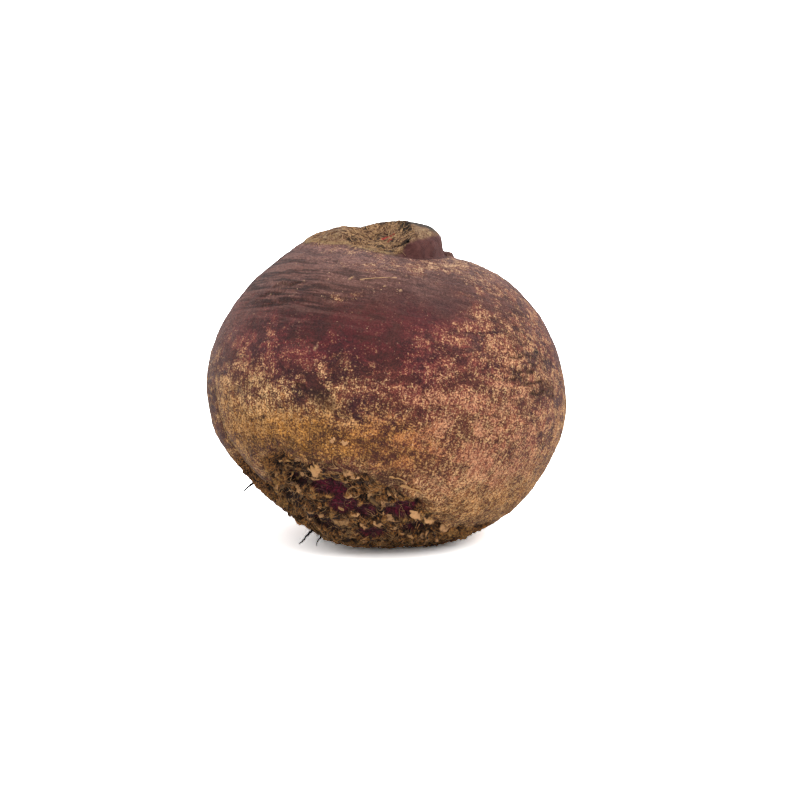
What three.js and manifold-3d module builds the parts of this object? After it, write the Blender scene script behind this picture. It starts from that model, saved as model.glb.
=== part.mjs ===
// A raw beetroot, trimmed of its leaves and its tail, lying on the small flat spot that it rests on.
//
// The root grew as one piece, so the part is one closed solid:
//   - a rounded body, a little wider than it is high,
//   - a knob of leaf-base tissue on top, with a steep wall on its right and a torn scoop at its front left,
//   - a low collar of the same tissue, which runs out to the knob's left,
//   - two opposite furrows down the sides, where the fine side roots grow,
//   - a rough, sunken patch round the trimmed root end, low on the front left.
//
// Units are millimetres, with +Z up, +X to the right and +Y to the back. The origin is on the surface that
// the beetroot stands on, under the middle of its bounding box.
import * as THREE from "three";
import { mergeVertices } from "three/addons/utils/BufferGeometryUtils.js";
import Module from "manifold-3d";

// ---- Driving dimensions ----

// The body is described by directions from its centre, which is this high above the ground.
const CENTRE_HEIGHT = 38.2;

// The widest outline isn't quite upright: its plane leans back by this angle, in degrees.
const OUTLINE_LEAN = 12;

// Distance from the centre to the outline, clockwise from the top as seen from the front, at equal angles.
const OUTLINE_RADII = [
  37.6, 37.0, 39.5, 42.1, 43.9, 45.2, 44.5, 42.9, 41.0,
  39.8, 40.4, 40.0, 41.0, 44.1, 44.8, 43.3, 42.0, 39.9,
];
const OUTLINE_STEP = 360 / OUTLINE_RADII.length;

// How far the body bulges from its centre to the front and to the back of the outline's plane.
const FRONT_RADIUS = 42.0;
const BACK_RADIUS = 43.0;

// Furrows: curves at a fixed angle out of the outline's plane, from one outline angle to another.
const FURROW_DEPTH = 1.1;
const FURROW_HALF_WIDTH = 2.6;
const FURROW_FADE = 14; // degrees over which each end of a furrow runs out
const FURROWS = [
  { outOfPlane: 17, from: 212, to: 268 }, // front left
  { outOfPlane: -20, from: 92, to: 150 }, // back right
];

// The rough root end: the surface is sunken inside this angle from the root's direction.
const ROOT_DIRECTION = new THREE.Vector3(-0.264, -0.587, -0.766).normalize();
const ROOT_REACH = 36; // degrees from the middle to the edge of the patch
const ROOT_EDGE = 7; // degrees over which the edge steps down
const ROOT_SINK = 0.9;
const STUB_REACH = 13; // what is left of the tail: a low swelling in the middle of the patch
const STUB_RISE = 1.6;

// Slow swellings that keep the body from being a perfect round: direction, height and reach in degrees.
const SWELLINGS = [
  { at: [0.45, -0.8, 0.35], rise: 0.7, reach: 26 },
  { at: [-0.55, -0.75, 0.35], rise: 0.6, reach: 24 },
  { at: [0.6, 0.7, 0.2], rise: 0.8, reach: 28 },
  { at: [-0.7, 0.65, -0.1], rise: 0.9, reach: 26 },
  { at: [0.1, 0.85, -0.5], rise: -0.7, reach: 24 },
  { at: [-0.1, 0.75, 0.65], rise: -0.6, reach: 22 },
  { at: [-0.4, 0.08, 0.92], rise: 2.1, reach: 8.5 }, // the collar beside the knob
];

// The knob of cut leaf bases.
const KNOB_CENTRE = { x: 1.4, y: 0.6 };
const KNOB_BASE = 66; // its solid starts this high, inside the body
const KNOB_SHOULDER = 76.4; // height at which its wall turns over into its top
const KNOB_TOP = 81.6;
const KNOB_RADIUS = 12.6;
const KNOB_FLARE = 0.6; // how much wider its foot is
const KNOB_EDGE = 3.2; // how far in from the wall the top's edge is rounded
const KNOB_WAVES = [
  { lobes: 2, share: 0.045, phase: 0.6 },
  { lobes: 5, share: 0.025, phase: -1.1 },
]; // its outline isn't round: waves round it, as a share of its radius
const KNOB_LEAN = 1.6; // how much lower its left edge is than its right edge
const SHOULDER_SINK = 0.9; // the ring-shaped dip round the knob
const SHOULDER_DIP_WIDTH = 4;

// The scoop where the leaf bases were torn out of the knob's front left.
const SCOOP_CENTRE = { x: -4.5, y: -12.0, z: 87.2 };
const SCOOP_RADII = { x: 15.0, y: 22.0, z: 13.0 };

// How finely the solids are faceted.
const BODY_MERIDIANS = 76;
const BODY_PARALLELS = 48;
const KNOB_SEGMENTS = 44;
const SCOOP_SEGMENTS = 40;

// ---- The body ----

const radians = THREE.MathUtils.degToRad;
const degrees = THREE.MathUtils.radToDeg;
const outlineUp = new THREE.Vector3(0, Math.sin(radians(OUTLINE_LEAN)), Math.cos(radians(OUTLINE_LEAN)));
const outlineFront = new THREE.Vector3(0, -outlineUp.z, outlineUp.y);

// Radius of the outline at an angle in degrees: a closed Catmull-Rom curve through its radii.
function outlineRadius(angle) {
  const count = OUTLINE_RADII.length;
  const place = ((angle % 360) + 360) % 360 / OUTLINE_STEP;
  const start = Math.floor(place);
  const t = place - start;
  const [a, b, c, d] = [-1, 0, 1, 2].map((k) => OUTLINE_RADII[(start + k + count) % count]);
  return b + 0.5 * t * (c - a + t * (2 * a - 5 * b + 4 * c - d + t * (3 * (b - c) + d - a)));
}

// Climbs from 0 to 1 over a width that ends at the given value.
const climb = (value, end, width) => THREE.MathUtils.smoothstep(value, end - width, end);

// 1 inside an interval, 0 outside it, with soft ends of the given width.
const softBand = (value, from, to, width) => climb(value, from, width) * climb(-value, -to, width);

const bell = (distance, reach) => Math.exp(-0.5 * (distance / reach) ** 2);

function furrowDepth(outlineAngle, outOfPlane, radius) {
  let depth = 0;
  for (const furrow of FURROWS) {
    const aside = radians(outOfPlane - furrow.outOfPlane) * radius;
    const along = softBand(outlineAngle, furrow.from, furrow.to, FURROW_FADE);
    depth += FURROW_DEPTH * bell(aside, FURROW_HALF_WIDTH) * along;
  }
  return depth;
}

// How far the root end sinks below the round of the body, less the swelling of its stub.
function rootSink(direction) {
  const away = degrees(direction.angleTo(ROOT_DIRECTION));
  const inside = 1 - THREE.MathUtils.smoothstep(away, ROOT_REACH - ROOT_EDGE, ROOT_REACH + ROOT_EDGE);
  return ROOT_SINK * inside - STUB_RISE * bell(away, STUB_REACH);
}

function swelling(direction) {
  let rise = 0;
  for (const lump of SWELLINGS) {
    const away = degrees(direction.angleTo(new THREE.Vector3(...lump.at)));
    rise += lump.rise * bell(away, lump.reach);
  }
  return rise;
}

// Distance from the centre to the skin in a direction, which is a unit vector.
function bodyRadius(direction) {
  const front = direction.dot(outlineFront);
  const outOfPlane = degrees(Math.asin(THREE.MathUtils.clamp(front, -1, 1)));
  const outlineAngle = (degrees(Math.atan2(direction.x, direction.dot(outlineUp))) + 360) % 360;
  const depth = front > 0 ? FRONT_RADIUS : BACK_RADIUS;
  const round = outlineRadius(outlineAngle) * (1 - front * front) + depth * front * front;
  return round + swelling(direction) - furrowDepth(outlineAngle, outOfPlane, round) - rootSink(direction);
}

// The dip round the foot of the knob, by how far a point is from the knob's middle line.
function shoulderSink(point) {
  if (point.z < 0) return 0;
  const away = Math.hypot(point.x - KNOB_CENTRE.x, point.y - KNOB_CENTRE.y) - KNOB_RADIUS;
  return SHOULDER_SINK * bell(away, SHOULDER_DIP_WIDTH);
}

function bodyGeometry() {
  const sphere = new THREE.SphereGeometry(1, BODY_MERIDIANS, BODY_PARALLELS).rotateX(Math.PI / 2);
  const position = sphere.getAttribute("position");
  const direction = new THREE.Vector3();
  for (let i = 0; i < position.count; i++) {
    direction.fromBufferAttribute(position, i).normalize();
    const point = direction.clone().multiplyScalar(bodyRadius(direction));
    point.z += CENTRE_HEIGHT - shoulderSink(point);
    position.setXYZ(i, point.x, point.y, point.z);
  }
  return sphere;
}

// ---- The knob and its scoop ----

// Half the knob's section, from the middle of its foot, up its wall and over its rounded top.
function knobProfile() {
  const edgeTop = KNOB_SHOULDER + 3;
  const outline = new THREE.Path();
  outline.moveTo(0, KNOB_BASE);
  outline.lineTo(KNOB_RADIUS + KNOB_FLARE, KNOB_BASE);
  outline.lineTo(KNOB_RADIUS, KNOB_SHOULDER - 2.5);
  outline.lineTo(KNOB_RADIUS + 0.2, KNOB_SHOULDER);
  outline.quadraticCurveTo(KNOB_RADIUS, KNOB_SHOULDER + 2, KNOB_RADIUS - KNOB_EDGE, edgeTop);
  outline.quadraticCurveTo(KNOB_RADIUS - 2.4 * KNOB_EDGE, KNOB_TOP, 0, KNOB_TOP);
  return outline.getPoints(4);
}

// The knob's radius at an angle round it, as a share of the round one.
function knobWobble(around) {
  return KNOB_WAVES.reduce((sum, wave) => sum + wave.share * Math.cos(wave.lobes * around + wave.phase), 1);
}

function knobGeometry() {
  const knob = new THREE.LatheGeometry(knobProfile(), KNOB_SEGMENTS).rotateX(Math.PI / 2);
  const position = knob.getAttribute("position");
  for (let i = 0; i < position.count; i++) {
    const [x, y, z] = [position.getX(i), position.getY(i), position.getZ(i)];
    const wobble = knobWobble(Math.atan2(y, x));
    const lean = z > KNOB_BASE ? (KNOB_LEAN * (x - KNOB_RADIUS)) / (2 * KNOB_RADIUS) : 0;
    position.setXYZ(i, KNOB_CENTRE.x + x * wobble, KNOB_CENTRE.y + y * wobble, z + lean);
  }
  return knob;
}

function scoopGeometry() {
  return new THREE.SphereGeometry(1, SCOOP_SEGMENTS, SCOOP_SEGMENTS / 2)
    .scale(SCOOP_RADII.x, SCOOP_RADII.y, SCOOP_RADII.z)
    .translate(SCOOP_CENTRE.x, SCOOP_CENTRE.y, SCOOP_CENTRE.z);
}

// A block that takes in everything under the ground, to cut the flat spot.
function groundGeometry() {
  const size = 160;
  return new THREE.BoxGeometry(size, size, size).translate(0, 0, -size / 2);
}

// ---- Joining the solids ----

const wasm = await Module();
wasm.setup();

function toSolid(geometry) {
  const bare = new THREE.BufferGeometry()
    .setAttribute("position", geometry.getAttribute("position"))
    .setIndex(geometry.getIndex());
  const closed = mergeVertices(bare, 1e-4);
  return new wasm.Manifold(
    new wasm.Mesh({
      numProp: 3,
      vertProperties: closed.getAttribute("position").array,
      triVerts: new Uint32Array(closed.getIndex().array),
    }),
  );
}

function toGeometry(solid) {
  const mesh = solid.getMesh();
  const geometry = new THREE.BufferGeometry();
  geometry.setAttribute("position", new THREE.BufferAttribute(mesh.vertProperties, 3));
  geometry.setIndex(new THREE.BufferAttribute(mesh.triVerts, 1));
  geometry.computeVertexNormals();
  return geometry;
}

const knob = toSolid(knobGeometry()).subtract(toSolid(scoopGeometry()));
const root = toSolid(bodyGeometry()).add(knob).subtract(toSolid(groundGeometry()));

// The bounding box stands centred over the origin.
const geometry = toGeometry(root);
geometry.computeBoundingBox();
const middle = geometry.boundingBox.getCenter(new THREE.Vector3());
geometry.translate(-middle.x, -middle.y, 0);

const skin = new THREE.MeshStandardMaterial({ color: 0x6b3a34, roughness: 0.75, metalness: 0 });
const beetroot = new THREE.Mesh(geometry, skin);
beetroot.name = "beetroot";

const group = new THREE.Group();
group.add(beetroot);

export default group;
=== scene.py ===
"""A raw beetroot on a pale floor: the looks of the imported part.

The skin is one surface, in an upper and a lower piece that meet edge to edge. It starts from the CAD
solid's body with the knob taken away. To that it adds the knob, its scoop and its collar, growth lines,
the left furrow, scurf, and the broken crust and torn flesh of the root end. Flakes, fibres and fine
rootlets are pieces of their own.

Shapes are worked out in millimetres and turned into metres when a mesh is made. A place on the body is
given by its bearing, in degrees to the right of the front, and by its elevation, in degrees above the
body's centre.
"""

import math
from itertools import product

import bpy
import numpy as np
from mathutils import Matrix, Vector
from mathutils.bvhtree import BVHTree


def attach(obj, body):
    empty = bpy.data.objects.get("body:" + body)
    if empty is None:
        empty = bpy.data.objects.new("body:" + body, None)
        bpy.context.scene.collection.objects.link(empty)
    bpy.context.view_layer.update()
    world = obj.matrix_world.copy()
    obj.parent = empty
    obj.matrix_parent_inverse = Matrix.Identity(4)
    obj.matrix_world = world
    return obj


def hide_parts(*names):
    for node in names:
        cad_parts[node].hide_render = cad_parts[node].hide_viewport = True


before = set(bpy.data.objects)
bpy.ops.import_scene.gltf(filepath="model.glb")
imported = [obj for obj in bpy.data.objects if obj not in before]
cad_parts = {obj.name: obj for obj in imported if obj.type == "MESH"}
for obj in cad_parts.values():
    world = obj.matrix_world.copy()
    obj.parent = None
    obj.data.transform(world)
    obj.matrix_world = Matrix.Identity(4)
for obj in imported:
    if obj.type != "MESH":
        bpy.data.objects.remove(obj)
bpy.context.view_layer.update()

MM = 0.001
NODE = "beetroot"
BODY_CENTRE = np.array([0.0, 0.0, 38.2])
BODY_RADIUS = 42.0  # a round figure, to turn angles into lengths over the skin

# The knob of leaf bases stands where the CAD solid has it, and is a little slimmer.
KNOB = np.array([1.4, 0.4])
KNOB_RADIUS = 12.2
KNOB_TOP = 81.2
KNOB_FALL = 0.03  # how fast its top falls away from the middle, per millimetre
SCOOP_CENTRE = np.array([-5.0, -12.6, 87.0])
SCOOP_RADII = np.array([15.5, 22.0, 13.4])
BRIDGE_TOP = 78.7  # height of the saddle of tissue that joins the knob to its collar
COLLAR_CENTRE = np.array([-9.0, 3.0])
COLLAR_RADII = np.array([11.0, 8.4])
STUB_CENTRE = np.array([14.6, 3.0])  # a low stub of a leaf base at the knob's right foot

# Growth lines circle this axis, and the tail was trimmed in the root's direction.
GROWTH_AXIS = np.array([0.2, 0.35, 0.9]) / np.linalg.norm([0.2, 0.35, 0.9])
ROOT_DIRECTION = np.array([-0.264, -0.587, -0.766])
ROOT_BEARING, ROOT_ELEVATION = -24.2, -50.0
ROOT_REACH = 34.5  # degrees
# The root end's rough patch runs on in two lobes: (bearing, elevation, reach).
ROOT_LOBES = [(-40, -21, 9.0), (42, -62, 19.0)]

# The plane that holds the widest outline, and the furrow's place in front of it.
OUTLINE_LEAN = math.radians(12)
OUTLINE_UP = np.array([0.0, math.sin(OUTLINE_LEAN), math.cos(OUTLINE_LEAN)])
OUTLINE_FRONT = np.array([0.0, -math.cos(OUTLINE_LEAN), math.sin(OUTLINE_LEAN)])
FURROW_OUT = 17.0  # degrees in front of the outline's plane
FURROW_FROM, FURROW_TO = 214.0, 268.0  # degrees round the outline

# How finely the skin is meshed.
MERIDIANS = 640
RINGS = 300
SEAM_RING = 150
PROFILE_STEPS = 1500


# ---- Small mathematics ----


def smoothstep(low, high, value):
    t = np.clip((value - low) / (high - low), 0.0, 1.0)
    return t * t * (3 - 2 * t)


def bell(distance, reach):
    return np.exp(-0.5 * (distance / reach) ** 2)


def smooth_min(a, b, blend):
    h = np.clip(0.5 + 0.5 * (b - a) / blend, 0.0, 1.0)
    return b + (a - b) * h - blend * h * (1 - h)


def unit(vectors):
    return vectors / np.maximum(np.linalg.norm(vectors, axis=-1, keepdims=True), 1e-9)


def towards(bearing, elevation):
    """Unit vector at a bearing and an elevation in degrees."""
    a, e = np.radians(bearing), np.radians(elevation)
    return np.stack([np.sin(a) * np.cos(e), -np.cos(a) * np.cos(e), np.sin(e)], axis=-1)


class Lattice:
    """Random values on the points of a cubic lattice, with one point per unit of length."""

    def __init__(self, seed):
        random = np.random.default_rng(seed)
        self.order = random.permutation(256)
        self.gradients = unit(random.normal(size=(256, 3)))
        self.values = random.random((256, 4))

    def index(self, cell):
        x, y, z = np.moveaxis(cell.astype(np.int64), -1, 0)
        return self.order[(self.order[(self.order[x & 255] + y) & 255] + z) & 255]

    def noise(self, points):
        """Smooth noise between about -1 and 1."""
        cell = np.floor(points)
        inside = points - cell
        fade = inside**3 * (inside * (inside * 6 - 15) + 10)
        total = 0.0
        for corner in product((0, 1), repeat=3):
            corner = np.array(corner)
            slope = self.gradients[self.index(cell + corner)]
            height = np.sum(slope * (inside - corner), axis=-1)
            total = total + height * np.prod(np.where(corner, fade, 1 - fade), axis=-1)
        return total * 1.7

    def chips(self, points):
        """For broken crust: each point's gap to the next chip, and its own chip's random value."""
        base = np.floor(points)
        nearest = np.full(points.shape[:-1], 9.0)
        second = nearest.copy()
        value = np.zeros_like(nearest)
        for offset in product((-1, 0, 1), repeat=3):
            cell = base + np.array(offset)
            drawn = self.values[self.index(cell)]
            away = np.linalg.norm(cell + drawn[..., :3] - points, axis=-1)
            closer = away < nearest
            second = np.where(closer, nearest, np.minimum(second, away))
            value = np.where(closer, drawn[..., 3], value)
            nearest = np.minimum(nearest, away)
        return second - nearest, value


def fractal(points, size, octaves, seed):
    """Noise whose largest features are about `size` millimetres."""
    lattice = Lattice(seed)
    total = 0.0
    for octave in range(octaves):
        total = total + lattice.noise(points * 2**octave / size + 7.3 * octave) / 2**octave
    return total


def ridged(points, size, seed):
    return 1 - 2 * np.abs(Lattice(seed).noise(points / size))


# ---- The smooth body, from the CAD solid ----

PROBE_RINGS = 48
PROBE_MERIDIANS = 96
CAP_RINGS = 7  # so many probe rings from the top lie on the knob, and are filled in from outside it
GRID_CENTRE = np.array([KNOB[0], KNOB[1], BODY_CENTRE[2]])


def probe_radii():
    """Distance from the grid's centre to the CAD solid, ring by ring, with the knob taken away."""
    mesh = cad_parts[NODE].data
    mesh.calc_loop_triangles()
    corners = np.empty(len(mesh.vertices) * 3)
    mesh.vertices.foreach_get("co", corners)
    corners = corners.reshape(-1, 3) / MM
    faces = [tuple(triangle.vertices) for triangle in mesh.loop_triangles]
    tree = BVHTree.FromPolygons([Vector(corner) for corner in corners], faces)
    radii = np.empty((PROBE_RINGS + 1, PROBE_MERIDIANS))
    directions = np.empty((PROBE_RINGS + 1, PROBE_MERIDIANS, 3))
    for ring in range(PROBE_RINGS + 1):
        polar = math.pi * ring / PROBE_RINGS
        for meridian in range(PROBE_MERIDIANS):
            around = 2 * math.pi * meridian / PROBE_MERIDIANS
            direction = Vector((
                math.sin(polar) * math.cos(around),
                math.sin(polar) * math.sin(around),
                math.cos(polar),
            ))
            distance = tree.ray_cast(Vector(GRID_CENTRE), direction)[3]
            radii[ring, meridian] = distance
            directions[ring, meridian] = direction
    return fill_cap(radii, directions)


def fill_cap(radii, directions):
    """Replaces the knob's rings with a smooth cap that joins the shoulder outside it."""

    def terms(d):
        x, y = d[..., 0], d[..., 1]
        return np.stack([np.ones_like(x), x, y, x * x, x * y, y * y], axis=-1)

    shoulder = slice(CAP_RINGS, CAP_RINGS + 4)
    factors, *_ = np.linalg.lstsq(
        terms(directions[shoulder]).reshape(-1, 6), radii[shoulder].ravel(), rcond=None
    )
    edge = radii[CAP_RINGS] - terms(directions[CAP_RINGS]) @ factors
    for ring in range(CAP_RINGS):
        radii[ring] = terms(directions[ring]) @ factors + edge * (ring / CAP_RINGS) ** 2
    return radii


def cubic(a, b, c, d, t):
    return b + 0.5 * t * (c - a + t * (2 * a - 5 * b + 4 * c - d + t * (3 * (b - c) + d - a)))


class Body:
    """The smooth body: its radius in any direction from the grid's centre."""

    def __init__(self):
        radii = probe_radii()
        half = PROBE_MERIDIANS // 2
        above = np.roll(radii[1:2], half, axis=1)
        below = np.roll(radii[-2:-1], half, axis=1)
        self.radii = np.concatenate([above, radii, below, below])

    def radius(self, polar, around):
        ring = np.clip(polar / math.pi * PROBE_RINGS, 0, PROBE_RINGS - 1e-6)
        meridian = (around / (2 * math.pi) * PROBE_MERIDIANS) % PROBE_MERIDIANS
        i, j = np.floor(ring).astype(int), np.floor(meridian).astype(int)
        rows = []
        for k in range(4):
            cells = [self.radii[i + k, (j + m) % PROBE_MERIDIANS] for m in (-1, 0, 1, 2)]
            rows.append(cubic(*cells, meridian - j))
        return cubic(*rows, ring - i)

    def points(self, polar, around):
        direction = np.stack(
            [np.sin(polar) * np.cos(around), np.sin(polar) * np.sin(around), np.cos(polar)], axis=-1
        )
        return GRID_CENTRE + direction * self.radius(polar, around)[..., None]


# ---- The knob, its scoop and the collar beside it ----


def knob_edge(points):
    """How far outside the knob's edge a point is, seen from above."""
    away = points[..., :2] - KNOB
    around = np.arctan2(away[..., 1], away[..., 0])
    wobble = 1 + 0.045 * np.cos(2 * around + 0.6) + 0.025 * np.cos(5 * around - 1.1)
    return np.hypot(away[..., 0], away[..., 1]) - KNOB_RADIUS * wobble


def collar_edge(points):
    """How far outside the collar's edge a point is, seen from above."""
    away = (points[..., :2] - COLLAR_CENTRE) / COLLAR_RADII
    return (np.hypot(away[..., 0], away[..., 1]) - 1) * COLLAR_RADII.mean()


def knob_heights(points):
    """The knob's rounded top, and the bottom of its scoop."""
    away = points[..., :2] - KNOB
    square = np.sum(away**2, axis=-1)
    fall = KNOB_FALL - 0.010 * smoothstep(0.0, 8.0, away[..., 0])
    over = np.clip(np.sqrt(square) - 0.76 * KNOB_RADIUS, 0, None) / (0.24 * KNOB_RADIUS)
    dome = KNOB_TOP - fall * square - 1.5 * over**2
    across = (points[..., :2] - SCOOP_CENTRE[:2]) / SCOOP_RADII[:2]
    inside = np.clip(1 - np.sum(across**2, axis=-1), 0, 1)
    scoop = SCOOP_CENTRE[2] - SCOOP_RADII[2] * np.sqrt(inside)
    return dome, scoop


def with_crown(points):
    """Raises the knob and its collar out of the smooth body."""
    on_top = points[..., 2] > BODY_CENTRE[2]
    edge = knob_edge(points) + 0.35 * Lattice(11).noise(points / 3.5)
    dome, scoop = knob_heights(points)
    top = smooth_min(dome, scoop, 0.7)
    rise = np.maximum(top - points[..., 2], 0.0) * smoothstep(0.2, -0.6, edge)
    x, y = points[..., 0], points[..., 1]
    bridge = smooth_min(BRIDGE_TOP - 0.045 * (y - 3.5) ** 2, scoop + 0.3, 0.7) - points[..., 2]
    bridge = np.maximum(bridge, 0.0) * smoothstep(-14.0, -10.5, x) * smoothstep(-3.0, -7.0, x)
    rise = np.maximum(rise, bridge * smoothstep(1.5, -1.5, collar_edge(points)))
    crease = -0.45 * bell(edge - 0.9, 0.45) * smoothstep(-9.0, 4.0, points[..., 0])
    collar = collar_edge(points) + 0.5 * Lattice(12).noise(points / 4.0)
    ledge = 0.45 * smoothstep(0.35, -0.25, collar) * smoothstep(-0.5, 1.0, edge)
    ramp = 2.0 * bell(edge, 3.0) * smoothstep(1.0, -2.5, collar) * smoothstep(0.0, -6.0, points[..., 0])
    stub = 0.9 * smoothstep(2.6, 1.6, np.linalg.norm(points[..., :2] - STUB_CENTRE, axis=-1))
    raised = points.copy()
    raised[..., 2] += np.where(on_top, np.maximum(rise, ramp + stub) + crease + ledge, 0.0)
    return raised


# ---- Where things are on the skin: listed patches ----
# Each patch is (bearing, elevation, half width, half height, strength), with the angles in degrees.

SCURF = [
    (-51, 1, 20, 8, 0.6), (-62, 16, 9, 9, 0.2), (-28, 6, 14, 4, 0.2),
    (-13, 18, 7, 3.5, 0.55), (-22, -4, 24, 8, 0.5), (5, -19, 18, 7, 0.3),
    (28, -30, 22, 10, 0.5), (48, -25, 28, 16, 0.55), (36, 22, 20, 16, 0.3),
    (60, 30, 14, 12, 0.3), (28, 6, 18, 10, 0.15), (88, -10, 14, 16, 0.5), (54, 53, 16, 8, 0.45),
    (26, 60, 22, 4, 0.55), (-20, 44, 6, 4, 0.4), (-40, 44, 12, 4, 0.2), (-48, 27, 7, 7, 0.18),
    (-80, -20, 16, 14, 0.45), (120, 35, 22, 12, 0.3), (140, -20, 34, 16, 0.5), (178, 12, 20, 14, 0.3),
    (-150, -18, 30, 18, 0.55), (-120, 30, 20, 14, 0.25), (165, 52, 20, 8, 0.4), (-100, 5, 12, 10, 0.35),
    (-52, -16, 12, 8, 0.5), (20, -52, 20, 14, 0.6), (60, -52, 30, 14, 0.6), (-70, -50, 24, 14, 0.4),
    (15, -4, 20, 8, 0.25), (45, 2, 20, 12, 0.3), (-45, 14, 8, 5, 0.2),
]
OCHRE = [
    (-24, -5, 26, 7, 0.9), (-8, -9, 16, 6, 0.6), (60, -32, 24, 10, 0.3), (88, -14, 8, 16, 0.4),
    (24, -34, 18, 6, 0.3), (-60, -12, 14, 8, 0.4), (150, -25, 36, 12, 0.6), (-150, -25, 36, 12, 0.6),
]
CRIMSON = [
    (-38, 30, 24, 7, 0.9), (-58, 20, 10, 9, 0.6), (10, 14, 14, 10, 0.8), (-6, 30, 12, 6, 0.5),
    (30, 16, 16, 12, 0.55), (38, -2, 16, 10, 0.35), (-25, 20, 10, 6, 0.5), (20, 36, 10, 8, 0.5),
    (30, -12, 20, 12, 0.55), (10, -13, 14, 7, 0.5), (52, -8, 18, 16, 0.5),
    (60, 28, 14, 14, 0.4), (-5, -2, 10, 5, 0.4),
    (100, 22, 20, 12, 0.6), (150, 20, 24, 10, 0.7), (-140, 18, 24, 12, 0.7), (-95, 32, 14, 8, 0.4),
]
DARK = [
    (-21, 8, 6, 5, 0.8), (59, 15, 6, 2.5, 0.9), (62, 8, 7, 2.5, 0.9), (-56, 40, 20, 6, 0.5),
    (6, 40, 20, 12, 0.35), (-8, 26, 14, 8, 0.35), (-34, 32, 8, 4, 0.35), (36, 46, 16, 6, 0.3),
    (-40, -20, 10, 4, 0.6), (130, 40, 22, 9, 0.5), (-165, 36, 26, 8, 0.4), (-110, 45, 16, 6, 0.4),
]
# Partly a lilac-grey bloom on the skin, partly painted sheen: a pale grazing reflection painted along the
# left and right edges and over the shoulders.
BLOOM_AND_SHEEN = [
    (-40, 56, 34, 9, 0.9), (-80, 34, 16, 16, 0.6), (14, 61, 30, 5, 0.6), (70, 50, 24, 14, 0.7),
    (-82, 5, 10, 20, 0.4), (150, 56, 40, 9, 0.6), (-150, 56, 40, 9, 0.6), (90, 15, 12, 20, 0.3),
]
SMOOTH = [
    (6, 41, 19, 10, 1.0), (-14, 26, 8, 8, 0.35), (28, 47, 12, 6, 0.5), (-30, 36, 14, 4, 0.4),
    (140, 38, 20, 10, 0.9), (-160, 30, 16, 8, 0.6), (-46, 50, 24, 9, 0.6), (-74, 32, 16, 14, 0.6),
    (62, 44, 14, 8, 0.4), (-110, 52, 26, 8, 0.5), (40, 62, 12, 4, 0.3),
]
STRIAE = [
    (-54, 40, 20, 8, 1.0), (-44, 56, 26, 8, 0.4), (8, 57, 30, 6, 0.25), (56, 13, 9, 8, 0.8),
    (150, 45, 40, 12, 0.8), (-120, 40, 24, 12, 0.8), (55, 30, 18, 10, 0.5),
]

# Hollows in the root end: (bearing, elevation, half width, half height, depth in mm, flesh shown).
HOLLOWS = [
    (-22, -24, 7.5, 3.8, 1.6, 1.0), (-17, -31, 6.5, 4.4, 1.4, 1.0), (-8, -34, 4.4, 3.8, 1.5, 1.0),
    (6, -22, 4.0, 2.0, 1.4, 1.0), (7, -34, 5.4, 4.6, 1.6, 1.0), (-35, -23, 6, 3.2, 1.8, 0.3),
    (15, -28, 3.2, 2.6, 1.8, 0.1), (28, -41, 3.6, 3.4, 1.8, 0.1), (-30, -42, 6, 5, 1.2, 0.4),
    (-8, -48, 6, 4, 1.0, 0.9), (14, -44, 5, 4, 1.2, 0.5), (-46, -34, 6, 5, 1.2, 0.1),
    (-28, -14, 7, 2.2, 0.8, 0.0), (-14, -12, 5, 1.6, 0.5, 0.0),
]

# Strokes drawn on the skin: from one (bearing, elevation) to another, and a half width in millimetres.
SCRATCHES = [
    ((-13.5, 51.4), (6.5, 53.4), 0.16), ((128, 40), (141, 43), 0.18), ((-19.2, 51.8), (-18.2, 52.0), 0.26),
    ((-1.0, 48.6), (-0.4, 48.7), 0.24), ((7.2, 47.2), (7.8, 47.3), 0.22), ((-25, 24.0), (-24.4, 24.2), 0.3),
]
SCARS = [
    ((46, 18.5), (52, 18.0), 0.42), ((47, 14.0), (57, 12.6), 0.5), ((49, 9.5), (60, 8.6), 0.5),
    ((52, 5.8), (60, 5.4), 0.42), ((43, 11.5), (46, 11.3), 0.4), ((50, 11.8), (53, 11.5), 0.35),
    ((-60, 43), (-45, 46), 0.5), ((-64, 38), (-50, 41.5), 0.5), ((-58, 36), (-44, 38), 0.4),
    ((-30, 12), (-26, 11.5), 0.5),
    ((-150, 20), (-138, 18), 0.8), ((-148, 14), (-134, 13), 0.9),
]
SCABS = [
    ((60, 7.0), (66, 4.5), 2.0), ((-23, 9), (-18, 7), 1.9), ((-30, -21), (-24, -22), 1.5),
    ((150, 4), (156, 2), 2.4),
]

# On the crown: dark strips along its rim, and red spots and holes in the scar; the holes are painted near
# black, as painted shade in their pits.
STRIPS = [((98, 82.5), (88, 75.8), 2.4), ((118, 82.0), (110, 75.0), 1.6), ((-100, 78), (-60, 80), 0.5)]
RED_SPOTS = [((-53, 88.6), (79, 87.7), 0.7), ((20, 86.8), (40, 86.6), 0.4)]
HOLES = [((10, 79.0), (22, 78.6), 1.0), ((25, 76.5), (30, 75.6), 0.7), ((-35, 78), (-28, 76), 0.5)]


def drawn(strokes, skin):
    """How far a list of strokes covers each point of the skin, from 0 to 1."""
    total = np.zeros(skin.points.shape[:-1])
    at = skin.direction * BODY_RADIUS
    at = at + 0.35 * fractal(at, 2.0, 2, 45)[..., None]
    for start, end, width in strokes:
        a, b = BODY_RADIUS * towards(*start), BODY_RADIUS * towards(*end)
        along = np.clip((at - a) @ (b - a) / np.sum((b - a) ** 2), 0, 1)
        away = np.linalg.norm(at - a - along[..., None] * (b - a), axis=-1)
        total = np.maximum(total, smoothstep(1.25, 0.55, away / width))
    return total


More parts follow.
